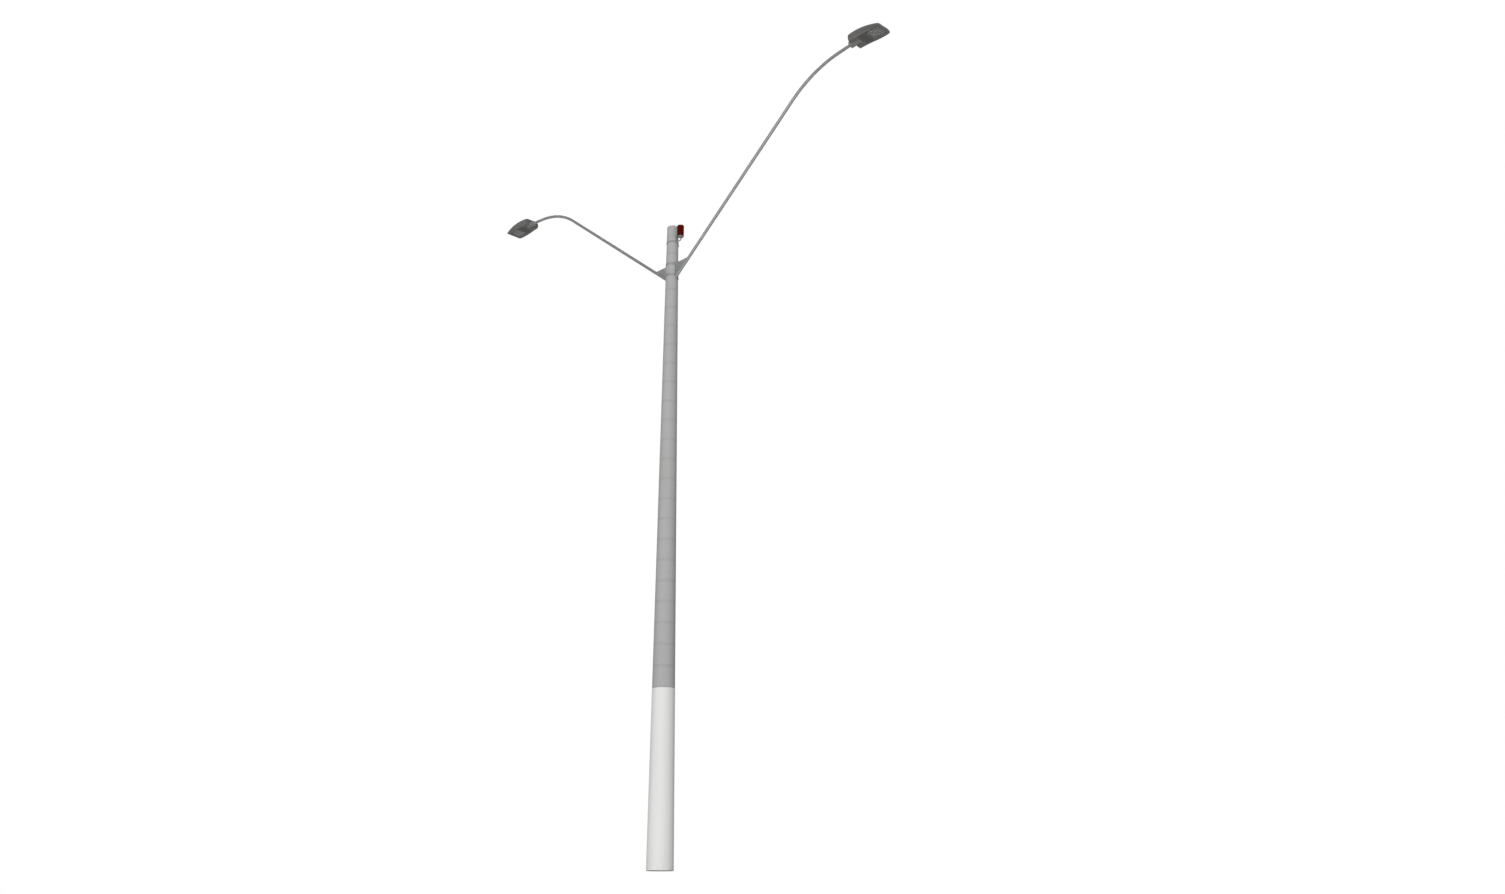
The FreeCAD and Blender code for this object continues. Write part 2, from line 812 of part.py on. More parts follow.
def cover_opening():
    """The seat and the way in that the gear cover closes."""
    seat = rounded_box(cover_rear - cover_gap, cover_front + cover_gap, -cover_half - cover_gap,
                       cover_half + cover_gap, head_belly - over, head_belly + cover_thickness,
                       cover_corner, up)
    hole = box(cover_rear + cover_ledge, cover_front - cover_ledge, -cover_half + cover_ledge,
               cover_half - cover_ledge, head_belly - over, head_belly + 3 * head_floor)
    groove = cover_seal_ring(cover_gap / 2)
    return seat.fuse([hole, groove])


def cover_seal_ring(extra):
    inset = cover_seal_inset - extra
    low = head_belly + cover_thickness
    return slab_ring(cover_rear + inset, cover_front - inset, -cover_half + inset,
                     cover_half - inset, low, low + cover_seal_height + extra / 2,
                     cover_seal_width + 2 * extra)


cover_hinge_x = cover_front + cover_hinge_setback


def cover_hinge_room():
    """The relief round each knuckle of the gear cover."""
    rooms = []
    half = cover_hinge_length / 2 + cover_swing_clearance
    radius = cover_knuckle_dia / 2 + cover_swing_clearance
    for side in (-1, 1):
        y = side * cover_hinge_y
        rooms.append(Part.makeCylinder(radius, 2 * half, Vector(cover_hinge_x, y - half,
                                                               head_belly), across))
        rooms.append(box(cover_front, cover_hinge_x, y - half, y + half, head_belly - over,
                         head_belly + radius))
    return rooms


def cover_hinge_lugs():
    """Fixed barrels on the belly, either side of each knuckle."""
    lugs = []
    start = cover_hinge_length / 2 + cover_swing_clearance
    for side in (-1, 1):
        for way in (-1, 1):
            y = side * cover_hinge_y + (start if way > 0 else -start - cover_lug_length)
            lugs.append(Part.makeCylinder(cover_knuckle_dia / 2, cover_lug_length,
                                          Vector(cover_hinge_x, y, head_belly), across))
    return lugs


def cover_pin_holes(radius):
    length = cover_hinge_length + 2 * (cover_swing_clearance + cover_lug_length)
    return [Part.makeCylinder(radius, length, Vector(cover_hinge_x, side * cover_hinge_y
                                                     - length / 2, head_belly), across)
            for side in (-1, 1)]


def fin_cutters():
    """Cross slots between the cooling fins above the optic."""
    cutters = []
    x = optic_rear + fin_slot
    while x + fin_slot < optic_front:
        cutters.append(box(x, x + fin_slot, -beyond, beyond, fin_floor, beyond))
        x += fin_pitch
    return cutters


def driver_bosses():
    top = driver_low + driver_height
    reach = head_dome((driver_x - head_rear) / head_length) - head_wall / 2 - top
    return [Part.makeCylinder(driver_boss_dia / 2, reach,
                              Vector(driver_x, side * (driver_length / 2 - driver_boss_dia), top))
            for side in (-1, 1)]


def head_housing():
    outer = head_loft(0, 0)
    bay = head_loft(head_wall, head_floor).common(
        box(head_rear + head_wall, bay_front, -beyond, beyond, -beyond, beyond))
    bay = bay.cut(head_corner_cutters(head_wall))
    cheek = fitter_width / 2 + fitter_side_clearance + fitter_cheek
    nose = fitter_nose_dia / 2 + fitter_nose_clearance + fitter_cheek
    block = box(head_rear + over, nose, -cheek, cheek, head_belly, beyond).common(outer)
    bosses = Part.makeCompound(driver_bosses())
    solid = outer.cut(bay).fuse([block, bosses]).cut(head_corner_cutters(0))
    recess = rounded_box(optic_rear, optic_front, -optic_half, optic_half, head_belly - over,
                         optic_roof, optic_corner, up)
    solid = solid.cut([fitter_pocket(), cover_opening(), recess])
    solid = solid.cut(fin_cutters() + cover_hinge_room()).fuse(cover_hinge_lugs())
    bolt_way = Part.makeCylinder(tilt_bolt_dia / 2 + bolt_hole_clearance / 2,
                                 2 * (cheek + over), Vector(0, -cheek - over, 0), across)
    return solid.cut(cover_pin_holes(cover_pin_dia / 2) + [bolt_way])


# Slip fitter

def turn_with_arm(shape):
    """Lean a piece with the arm's tip, about the tilt axis."""
    shape.rotate(origin, across, -arm_tip_deg)
    return shape


def slip_fitter():
    half = fitter_width / 2
    body = rounded_box(-fitter_length, 0, -half, half, -fitter_height / 2, fitter_height / 2,
                       fitter_edge, along)
    nose = Part.makeCylinder(fitter_nose_dia / 2, fitter_width, Vector(0, -half, 0), across)
    seat = Part.makeCylinder(arm_tube_dia / 2 + fitter_tube_clearance,
                             fitter_length - fitter_tube_stop + over,
                             Vector(-fitter_length - over, 0, 0), along)
    bolt_way = Part.makeCylinder(tilt_bolt_dia / 2 + pin_clearance, 2 * (half + over),
                                 Vector(0, -half - over, 0), across)
    wire_way = Part.makeCylinder(fitter_wire_hole / 2, fitter_tube_stop + fitter_nose_dia,
                                 Vector(-fitter_tube_stop - cable_dia, 0, fitter_wire_hole), along)
    screws = [Part.makeCylinder(bolt_dia / 2, fitter_height / 2, Vector(x, 0, -fitter_height / 2),
                                up) for x in clamp_screw_x()]
    return turn_with_arm(body.fuse(nose).removeSplitter().cut([seat, bolt_way, wire_way] + screws))


def clamp_screw_x():
    first = -fitter_length + clamp_screw_inset
    return (first, first + clamp_screw_pitch)


def clamp_screws():
    pieces = []
    for x in clamp_screw_x():
        low = Vector(x, 0, -fitter_height / 2)
        shank = Part.makeCylinder(bolt_dia / 2, fitter_height / 2 - arm_tube_dia / 2, low, up)
        head = hexagon(bolt_head_flats, bolt_head_height, low, up * -1)
        pieces.append(shank.fuse(head).removeSplitter())
    return turn_with_arm(Part.makeCompound(pieces))


def tilt_bolt():
    """The cross bolt that the lantern tilts on, with its nut."""
    outside = fitter_width / 2 + fitter_side_clearance + fitter_cheek
    shank = Part.makeCylinder(tilt_bolt_dia / 2, 2 * outside + tilt_head_height + bolt_end,
                              Vector(0, -outside, 0), across)
    head = hexagon(tilt_head_flats, tilt_head_height, Vector(0, -outside, 0), across * -1)
    nut = hexagon(tilt_head_flats, tilt_head_height, Vector(0, outside, 0), across)
    nut = nut.cut(Part.makeCylinder(tilt_bolt_dia / 2, tilt_head_height,
                                    Vector(0, outside, 0), across))
    return Part.makeCompound([shank.fuse(head).removeSplitter(), nut])


# Gear cover, its latches and what is behind it

def latch_x():
    return cover_rear + latch_from_rear


def gear_cover():
    plate = rounded_box(cover_rear, cover_front, -cover_half, cover_half, head_belly,
                        head_belly + cover_thickness, cover_corner - cover_gap, up)
    knuckles = []
    half = cover_hinge_length / 2
    for side in (-1, 1):
        y = side * cover_hinge_y
        knuckles.append(Part.makeCylinder(cover_knuckle_dia / 2, cover_hinge_length,
                                          Vector(cover_hinge_x, y - half, head_belly), across))
        knuckles.append(box(cover_front - over, cover_hinge_x, y - half, y + half, head_belly,
                            head_belly + cover_thickness))
    solid = plate.fuse(knuckles).removeSplitter()
    shafts = [Part.makeCylinder(latch_shaft_dia / 2 + pin_clearance, 4 * cover_thickness,
                                Vector(latch_x(), side * latch_y, head_belly - cover_thickness))
              for side in (-1, 1)]
    return solid.cut(cover_pin_holes(cover_pin_dia / 2 + pin_clearance) + shafts)


def cover_latch(side):
    """A quarter-turn fastener: slotted head, shaft, and a tongue over the ledge."""
    x = latch_x()
    y = side * latch_y
    ledge_top = head_belly + head_floor
    low = head_belly - pin_clearance
    head = Part.makeCylinder(latch_head_dia / 2, latch_head_height,
                             Vector(x, y, low - latch_head_height))
    tongue_low = ledge_top + latch_tongue_gap
    top = tongue_low + latch_tongue_thickness
    shaft = Part.makeCylinder(latch_shaft_dia / 2, top - low + over, Vector(x, y, low - over))
    tongue = box(x - latch_tongue_reach, x + latch_shaft_dia / 2, y - latch_tongue_width / 2,
                 y + latch_tongue_width / 2, tongue_low, top)
    slot = box(x - latch_head_dia, x + latch_head_dia, y - latch_slot / 2, y + latch_slot / 2,
               low - latch_head_height - over, low - latch_head_height / 2)
    return head.fuse([shaft, tongue]).removeSplitter().cut(slot)


def led_driver():
    half = driver_length / 2
    body = rounded_box(driver_x - driver_width / 2, driver_x + driver_width / 2, -half, half,
                       driver_low, driver_low + driver_height, driver_corner, across)
    inset = half - driver_groove_inset
    grooves = [box(driver_x - driver_width, driver_x + driver_width, y - driver_groove,
                   y + driver_groove, driver_low - over, driver_low + driver_groove)
               for y in (-inset, inset)]
    return body.cut(grooves)


def surge_protector():
    length, width, height = surge_box
    return rounded_box(bay_front - length, bay_front, surge_y - width / 2, surge_y + width / 2,
                       -height / 2, height / 2, surge_corner, along)


def terminal_block():
    length, width, height = terminal_box
    solid = box(bay_front - length, bay_front, -width / 2, width / 2, terminal_low,
                terminal_low + height)
    pitch = width / terminal_ways
    holes = []
    for i in range(terminal_ways):
        y = (i + 0.5) * pitch - width / 2
        mouth = Vector(bay_front - length - over, y, terminal_low + height / 3)
        holes.append(Part.makeCylinder(pitch / 4, length / 2, mouth, along))
    return solid.cut(holes)


# Optic

optic_roof = head_belly + optic_depth + lens_thickness + led_board_thickness
lens_low = head_belly + optic_depth


def led_places():
    """The grid of LEDs, evenly spaced inside the optic's margin."""
    places = []
    span_x = optic_front - optic_rear - 2 * lens_margin
    span_y = 2 * (optic_half - lens_margin)
    for i in range(lens_columns):
        for j in range(lens_rows):
            places.append((optic_rear + lens_margin + span_x * i / (lens_columns - 1),
                           span_y * j / (lens_rows - 1) - span_y / 2))
    return places


def lens_plate():
    """A clear plate with one shallow dome below each LED."""
    plate = rounded_box(optic_rear + lens_fit, optic_front - lens_fit, -optic_half + lens_fit,
                        optic_half - lens_fit, lens_low, lens_low + lens_thickness,
                        optic_corner - lens_fit, up)
    rise = lens_dome_rise
    ball = ((lens_dome_dia / 2) ** 2 + rise ** 2) / (2 * rise)
    domes = []
    pockets = []
    for x, y in led_places():
        sphere = Part.makeSphere(ball, Vector(x, y, lens_low + ball - rise))
        domes.append(sphere.common(box(x - lens_dome_dia, x + lens_dome_dia,
                                       y - lens_dome_dia, y + lens_dome_dia,
                                       lens_low - rise - over, lens_low + over)))
        pockets.append(Part.makeCylinder(led_size, lens_thickness / 2 + over,
                                         Vector(x, y, lens_low + lens_thickness / 2)))
    return plate.fuse(domes).removeSplitter().cut(pockets)


def led_board():
    low = lens_low + lens_thickness
    board = rounded_box(optic_rear + lens_fit, optic_front - lens_fit, -optic_half + lens_fit,
                        optic_half - lens_fit, low, low + led_board_thickness,
                        optic_corner - lens_fit, up)
    half = led_size / 2
    leds = [box(x - half, x + half, y - half, y + half, low - led_rise, low)
            for x, y in led_places()]
    return board.fuse(leds).removeSplitter()


# Obstruction light

lamp_face = post_radius(lamp_saddle_low) + lamp_saddle_thickness
lamp_seal_low = lamp_base_low + lamp_base_neck + lamp_base_height
lamp_lens_low = lamp_seal_low + lamp_seal_thickness


def lamp_saddle():
    half = lamp_saddle_width / 2
    solid = box(post_radius(lamp_saddle_low) - post_wall, lamp_face, -half, half,
                lamp_saddle_low, lamp_saddle_top)
    lead = Part.makeCylinder(lamp_pipe_dia / 2 - lamp_pipe_wall, 2 * lamp_face,
                             Vector(0, 0, lamp_pipe_foot_z), along)
    return solid.cut([post_envelope(lamp_saddle_low - over, lamp_saddle_top + over, 0),
                      band_notch(lamp_band_z, lamp_band_height), lead])


def lamp_pipe():
    """A swan-neck conduit from the saddle out, round and up into the lamp's base."""
    knee = Vector(lamp_axis + lamp_pipe_belly, 0, lamp_pipe_foot_z)
    neck = Vector(lamp_axis, 0, lamp_base_low - lamp_base_neck / 2)
    points = [Vector(lamp_face, 0, lamp_pipe_foot_z), knee, neck,
              Vector(lamp_axis, 0, lamp_base_low + lamp_base_neck)]
    wire = route(points, [lamp_pipe_bend, lamp_pipe_bend / 2])
    return pipe(wire, lamp_pipe_dia / 2).cut(pipe(wire, lamp_pipe_dia / 2 - lamp_pipe_wall))


def lamp_base():
    neck = Part.makeCylinder(lamp_base_neck_dia / 2, lamp_base_neck,
                             Vector(lamp_axis, 0, lamp_base_low))
    plate = Part.makeCylinder(lamp_base_dia / 2, lamp_base_height,
                              Vector(lamp_axis, 0, lamp_base_low + lamp_base_neck))
    way = Part.makeCylinder(lamp_pipe_dia / 2, lamp_base_neck, Vector(lamp_axis, 0, lamp_base_low))
    lead = Part.makeCylinder(lamp_pipe_dia / 2 - lamp_pipe_wall, lamp_base_height + over,
                             Vector(lamp_axis, 0, lamp_base_low + lamp_base_neck))
    return neck.fuse(plate).removeSplitter().cut([way, lead])


def lamp_seal():
    ring = Part.makeCylinder(lamp_base_dia / 2, lamp_seal_thickness,
                             Vector(lamp_axis, 0, lamp_seal_low))
    return ring.cut(Part.makeCylinder(lamp_core_dia / 2 + lamp_seal_thickness, lamp_seal_thickness,
                                      Vector(lamp_axis, 0, lamp_seal_low)))


def lamp_core():
    """The column of red LEDs on a stem."""
    stem = Part.makeCylinder(lamp_core_stem / 2, lamp_core_stem, Vector(lamp_axis, 0, lamp_seal_low))
    low = lamp_seal_low + lamp_core_stem
    drum = Part.makeCylinder(lamp_core_dia / 2, lamp_core_height, Vector(lamp_axis, 0, low))
    leds = []
    for row in range(lamp_led_rows):
        z = low + lamp_core_height * (row + 0.5) / lamp_led_rows
        for column in range(lamp_led_columns):
            led = Part.makeCylinder(led_size, 2 * led_rise + over,
                                    Vector(lamp_axis + lamp_core_dia / 2 - over, 0, z), along)
            led.rotate(Vector(lamp_axis, 0, 0), up, 360 * column / lamp_led_columns)
            leds.append(led)
    return stem.fuse([drum] + leds).removeSplitter()


def lens_outline(radius, low, high, shoulder):
    """The half-outline of the lens: a straight wall, a rounded shoulder and a flat crown."""
    middle = Vector(radius - shoulder * (1 - math.sqrt(0.5)), 0,
                    high - shoulder * (1 - math.sqrt(0.5)))
    wall_top = Vector(radius, 0, high - shoulder)
    crown_edge = Vector(radius - shoulder, 0, high)
    points = [crown_edge, Vector(0, 0, high), Vector(0, 0, low), Vector(radius, 0, low), wall_top]
    return Part.Face(Part.Wire([Part.makePolygon(points),
                                Part.Arc(wall_top, middle, crown_edge).toShape()]))


def lamp_lens():
    """The red lens: a drum with a rounded crown, and the knob that turns it off its base."""
    high = lamp_lens_low + lamp_lens_height
    shape = lens_outline(lamp_lens_dia / 2, lamp_lens_low, high, lamp_lens_shoulder)
    solid = shape.revolve(origin, up, 360)
    room = Part.makeCylinder(lamp_lens_dia / 2 - lamp_lens_wall,
                             lamp_lens_height - lamp_lens_wall - lamp_lens_shoulder / 2,
                             Vector(0, 0, lamp_lens_low - over))
    knob = Part.makeCylinder(lamp_knob_dia / 2, lamp_knob_height, Vector(0, 0, high - over))
    solid = solid.cut(room).fuse(knob).removeSplitter()
    solid.translate(Vector(lamp_axis, 0, lamp_lens_clearance))
    return solid


def place_on_head(shape):
    shape.translate(tilt_axis)
    return shape


os.makedirs("parts", exist_ok=True)
save("concrete_post", concrete_post())
save("paint_coat", paint_coat())
save("top_cap", top_cap())
save("upper_arm_band", band(upper_band_z, band_height))
save("lower_arm_band", band(lower_band_z, band_height))
save("lamp_band", band(lamp_band_z, lamp_band_height))
save("band_bolts", band_bolts())
save_pair("arm_saddle", arm_saddle())
save_pair("arm_tube", arm_tube())
save_pair("arm_gusset", gusset())
cable = feed_cable()
save("right_feed_cable", cable)
save("left_feed_cable", cable.mirror(origin, along))

save("door_frame", door_frame())
save("service_door", service_door())
save("door_hinge_pins", door_hinge_pins())
save("door_seal", door_seal())
save("door_lock", door_lock())
save("fuse_board", fuse_board())
save("fuse_unit", fuse_unit())
save("left_fuse_carrier", fuse_carrier(fuse_x()[0]))
save("right_fuse_carrier", fuse_carrier(fuse_x()[1]))
save("earth_stud", earth_stud())

save_pair("head_housing", place_on_head(head_housing()))
save_pair("slip_fitter", place_on_head(slip_fitter()))
save_pair("clamp_screws", place_on_head(clamp_screws()))
save_pair("tilt_bolt", place_on_head(tilt_bolt()))
save_pair("gear_cover", place_on_head(gear_cover()))
save_pair("cover_seal", place_on_head(cover_seal_ring(0)))
save_pair("cover_pins", place_on_head(Part.makeCompound(cover_pin_holes(cover_pin_dia / 2))))
save_pair("cover_latch_1", place_on_head(cover_latch(-1)))
save_pair("cover_latch_2", place_on_head(cover_latch(1)))
save_pair("led_driver", place_on_head(led_driver()))
save_pair("surge_protector", place_on_head(surge_protector()))
save_pair("terminal_block", place_on_head(terminal_block()))
save_pair("led_board", place_on_head(led_board()))
save_pair("lens_plate", place_on_head(lens_plate()))

save("lamp_saddle", lamp_saddle())
save("lamp_pipe", lamp_pipe())
save("lamp_base", lamp_base())
save("lamp_seal", lamp_seal())
save("lamp_core", lamp_core())
save("lamp_lens", lamp_lens())
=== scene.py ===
import math

import bmesh
import bpy
import numpy as np
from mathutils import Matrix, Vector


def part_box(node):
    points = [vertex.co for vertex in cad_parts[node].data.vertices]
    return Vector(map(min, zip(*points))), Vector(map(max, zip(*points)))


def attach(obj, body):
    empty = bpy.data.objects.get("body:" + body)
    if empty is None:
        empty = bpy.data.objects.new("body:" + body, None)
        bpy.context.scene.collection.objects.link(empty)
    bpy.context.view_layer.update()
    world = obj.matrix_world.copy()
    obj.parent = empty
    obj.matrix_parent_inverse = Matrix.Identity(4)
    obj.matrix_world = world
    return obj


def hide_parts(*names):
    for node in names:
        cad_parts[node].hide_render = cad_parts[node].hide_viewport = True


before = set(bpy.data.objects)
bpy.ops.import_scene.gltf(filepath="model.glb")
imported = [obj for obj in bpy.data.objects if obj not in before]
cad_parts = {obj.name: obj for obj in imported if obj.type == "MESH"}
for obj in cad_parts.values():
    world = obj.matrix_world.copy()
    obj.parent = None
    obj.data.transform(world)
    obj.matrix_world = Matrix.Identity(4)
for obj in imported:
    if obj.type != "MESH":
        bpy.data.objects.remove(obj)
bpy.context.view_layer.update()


# Camera
# It stands off the column's front right corner, below the level of its foot, as from a road
# that runs lower than the verge, and looks up so that the whole column stays upright in view.

camera_place = (15.889, -13.820, -0.827)
camera_heading = 45.39704
camera_pitch = 18.9
camera_data = bpy.data.cameras.new("camera")
camera_data.lens = 33.91
camera_data.sensor_width = 36.0
camera_data.clip_end = 200.0
camera = bpy.data.objects.new("camera", camera_data)
camera.location = camera_place
camera.rotation_euler = (math.radians(90 + camera_pitch), 0, math.radians(camera_heading))
bpy.context.scene.collection.objects.link(camera)
bpy.context.scene.camera = camera
bpy.context.scene.view_settings.view_transform = "Standard"


# Ground and daylight
# A plain pale floor round the post that thins out into the background and is clear from below,
# under an even white sky, with one broad light from the camera's side and a weak one behind.

floor_half = 60.0
floor_full = 6.0
floor_gone = 22.0
floor_colour = (0.80, 0.80, 0.79)
floor_glow = (0.30, 0.30, 0.30)
sky_light = 0.36
front_offset = -10.0
front_strength = 2.17
back_height = 40.0
back_strength = 0.6


class Level:
    """A number that varies over a surface: each operator adds one Math node."""

    def __init__(self, nodes, socket):
        self.nodes = nodes
        self.socket = socket

    def __add__(self, other):
        return self.nodes.math("ADD", self, other)

    def __sub__(self, other):
        return self.nodes.math("SUBTRACT", self, other)

    def __rsub__(self, other):
        return self.nodes.math("SUBTRACT", other, self)

    def __mul__(self, other):
        return self.nodes.math("MULTIPLY", self, other)

    def __pow__(self, other):
        return self.nodes.math("POWER", self, other)

    __radd__ = __add__
    __rmul__ = __mul__


class Nodes:
    """The nodes of one material or sky, all made by one method."""

    def __init__(self, tree):
        self.tree = tree

    def node(self, kind, settings=(), values=()):
        """A node of one kind: its settings first, then its sockets' values or links."""
        node = self.tree.nodes.new(kind)
        for key, value in dict(settings).items():
            setattr(node, key, value)
        for key, value in dict(values).items():
            self.feed(node.inputs[key], value)
        return {out.name: Level(self, out) for out in node.outputs if out.enabled}

    def feed(self, socket, value):
        """Links a varying number to a socket, or sets the socket's own value."""
        if isinstance(value, Level):
            self.tree.links.new(value.socket, socket)
        else:
            socket.default_value = value

    def math(self, operation, first, second=0.0):
        return self.node("ShaderNodeMath", {"operation": operation}, {0: first, 1: second})["Value"]


class Finish(Nodes):
    """One material, built from nodes that read the piece's Object coordinates."""

    def __init__(self, name, **constants):
        self.material = bpy.data.materials.new(name)
        self.material.use_nodes = True
        super().__init__(self.material.node_tree)
        self.shader = self.tree.nodes["Principled BSDF"]
        self.set(**constants)
        self.place = self.node("ShaderNodeTexCoord")["Object"]
        self.x, self.y, self.z = self.parts(self.place)

    def parts(self, vector):
        """The three numbers of a place or a colour."""
        split = self.node("ShaderNodeSeparateXYZ", values={"Vector": vector})
        return split["X"], split["Y"], split["Z"]

    def band(self, level, low, high):
        """0 below low, 1 above high, and a smooth step between them."""
        settings = {"interpolation_type": "SMOOTHSTEP"}
        values = {"Value": level, "From Min": low, "From Max": high}
        return self.node("ShaderNodeMapRange", settings, values)["Result"]

    def stretch(self, scale):
        """The place, scaled along X, Y and Z."""
        return self.node("ShaderNodeMapping", values={"Vector": self.place, "Scale": scale})["Vector"]

    def noise(self, scale, detail=2.0, vector=None):
        values = {"Vector": vector or self.place, "Scale": scale, "Detail": detail}
        return self.node("ShaderNodeTexNoise", values=values)["Fac"]

    def cells(self, scale):
        """Distance to the nearest of many scattered points, and that cell's own random shade."""
        out = self.node("ShaderNodeTexVoronoi", values={"Vector": self.place, "Scale": scale})
        return out["Distance"], out["Color"]

    def blend(self, factor, first, second):
        """A mix of two colours."""
        first, second = (colour if isinstance(colour, Level) else (*colour, 1.0)
                         for colour in (first, second))
        return self.node("ShaderNodeMix", {"data_type": "RGBA"},
                         {0: factor, 6: first, 7: second})["Result"]

    def shade(self, colour, level):
        """A colour made darker or lighter by a varying number."""
        grey = self.node("ShaderNodeCombineXYZ", values={"X": level, "Y": level, "Z": level})
        return self.node("ShaderNodeVectorMath", {"operation": "MULTIPLY"},
                         {0: grey["Vector"], 1: colour})["Vector"]

    def set(self, **sockets):
        """Gives the shader's sockets their values; an underscore stands for a space."""
        for name, value in sockets.items():
            self.feed(self.shader.inputs[name.replace("_", " ")], value)
        return self

    def bump(self, height, depth):
        """A relief of the given depth in metres."""
        return self.set(Normal=self.node("ShaderNodeBump",
                                         values={"Height": height, "Distance": depth})["Normal"])

    def on(self, *names):
        """Puts this finish on CAD nodes by name."""
        for name in names:
            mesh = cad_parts[name].data
            mesh.materials.clear()
            mesh.materials.append(self.material)
        return self


def ground():
    """A flat sheet, solid near the post and gone at floor_gone from it."""
    mesh = bpy.data.meshes.new("ground")
    mesh.from_pydata([(-floor_half, -floor_half, 0), (floor_half, -floor_half, 0),
                      (floor_half, floor_half, 0), (-floor_half, floor_half, 0)], [], [(0, 1, 2, 3)])
    piece = bpy.data.objects.new("ground", mesh)
    bpy.context.scene.collection.objects.link(piece)
    finish = Finish("pale_floor", Roughness=0.9, Emission_Strength=1.0)
    grain = finish.noise(3.0, 4.0)
    seen = finish.node("ShaderNodeLightPath")["Is Camera Ray"]
    finish.set(Base_Color=finish.shade(floor_colour, 0.97 + grain * 0.06),
               Emission_Color=finish.shade(floor_glow, seen))
    reach = (finish.x * finish.x + finish.y * finish.y) ** 0.5
    near = 1 - finish.band(reach, floor_full, floor_gone)
    below = finish.node("ShaderNodeNewGeometry")["Backfacing"]
    clear = finish.node("ShaderNodeBsdfTransparent")["BSDF"]
    mixed = finish.node("ShaderNodeMixShader", values={
        0: near * (1 - below), 1: clear, 2: Level(finish, finish.shader.outputs[0])})
    finish.feed(finish.tree.nodes["Material Output"].inputs["Surface"], mixed["Shader"])
    mesh.materials.append(finish.material)
    piece.visible_shadow = False


ground()


def overcast_sky():
    """Plain white to the camera and softer as a light, so that the object keeps its own tones."""
    world = bpy.data.worlds.new("sky")
    world.use_nodes = True
    sky = Nodes(world.node_tree)
    seen = sky.node("ShaderNodeLightPath")["Is Camera Ray"]
    air = sky.tree.nodes["Background"]
    air.inputs["Color"].default_value = (1.0, 1.0, 1.0, 1.0)
    sky.feed(air.inputs["Strength"], sky_light + seen * (1 - sky_light))
    bpy.context.scene.world = world


def sun(name, heading, height, strength, softness):
    """A broad lamp that shines along a heading, from a height in degrees above the horizon."""
    light = bpy.data.lights.new(name, "SUN")
    light.energy = strength
    light.angle = math.radians(softness)
    lamp = bpy.data.objects.new(name, light)
    lamp.rotation_euler = (math.radians(90 - height), 0, math.radians(heading))
    bpy.context.scene.collection.objects.link(lamp)


overcast_sky()
sun("front_light", camera_heading + front_offset, -camera_pitch, front_strength, softness=25.0)
sun("back_light", camera_heading + 180, back_height, back_strength, softness=20.0)


# Spun-concrete post
# A tapered hollow tube, cast in a spinning steel mould: fine pores, soft darker rings where
# the cage's hoops lie under the skin, and a flat ground for the door frame round its opening.

foot_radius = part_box("concrete_post")[1].x
top_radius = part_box("top_cap")[1].x
post_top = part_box("concrete_post")[1].z
cap_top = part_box("top_cap")[1].z
post_wall = 0.050
hoop_pitch = 0.323
door_low, door_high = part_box("door_frame")[0].z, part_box("door_frame")[1].z
sleeve_reach = 0.058
sleeve_inset = 0.012
facet_y = 0.172
facet_margin = 0.006
ring_edges = (0, 30, 34, 44, 48, 78)
rows_below_door, rows_beside_door, rows_above_door = 12, 10, 120
least_sine = 0.2
bore_mark_gap = 0.2


def post_radius(z):
    """The post's radius falls evenly from its foot to its top."""
    return foot_radius - (foot_radius - top_radius) * z / cap_top


def joined(name, points, faces, body, smooth_angle=40.0):
    """A closed mesh from corner points and faces: normals outwards, soft below an angle."""
    sharp = math.radians(smooth_angle)
    mesh = bpy.data.meshes.new(name)
    mesh.from_pydata(points.tolist(), [], [list(face) for face in faces])
    work = bmesh.new()
    work.from_mesh(mesh)
    bmesh.ops.recalc_face_normals(work, faces=work.faces)
    for edge in work.edges:
        edge.smooth = len(edge.link_faces) == 2 and edge.calc_face_angle(0) < sharp
    work.to_mesh(mesh)
    work.free()
    mesh.polygons.foreach_set("use_smooth", np.ones(len(mesh.polygons), bool))
    piece = bpy.data.objects.new(name, mesh)
    bpy.context.scene.collection.objects.link(piece)
    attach(piece, body)
    return piece


def grid_faces(rows, columns, keep=None, start=0):
    """The quads of a grid of points whose rows are rings, row after row from a first point."""
    i, j = np.meshgrid(np.arange(rows - 1), np.arange(columns), indexing="ij")
    k = (j + 1) % columns
    quads = np.stack([i * columns + j, i * columns + k, (i + 1) * columns + k,
                      (i + 1) * columns + j], axis=-1) + start
    return quads[keep] if keep is not None else quads.reshape(-1, 4)


def ring_of_skin(z, radius, marks, flat):
    """Points round the post, row by row. Each row's angles run evenly between its six marks;
    where flat is true the radius is at most facet_y / sin(angle), which is the flat for the door."""
    steps = np.arange(ring_edges[-1])
    weights = np.stack([np.interp(steps, ring_edges, share) for share in np.eye(len(ring_edges))])
    angle = marks @ weights
    reach = np.broadcast_to(radius[:, None], angle.shape).copy()
    on_flat = facet_y / np.maximum(np.sin(angle), least_sine)
    reach = np.where(flat[:, None], np.minimum(reach, on_flat), reach)
    return np.stack([reach * np.cos(angle), reach * np.sin(angle),
                     np.broadcast_to(z[:, None], angle.shape)], axis=-1).reshape(-1, 3)


def marks_of(outer, inner):
    """The six angles of each row: back, flat's edge, opening's edges, flat's edge, back."""
    ones = np.ones_like(outer)
    return np.stack([-np.pi / 2 * ones, outer, inner, np.pi - inner, np.pi - outer,
                     np.pi * 1.5 * ones], axis=-1)


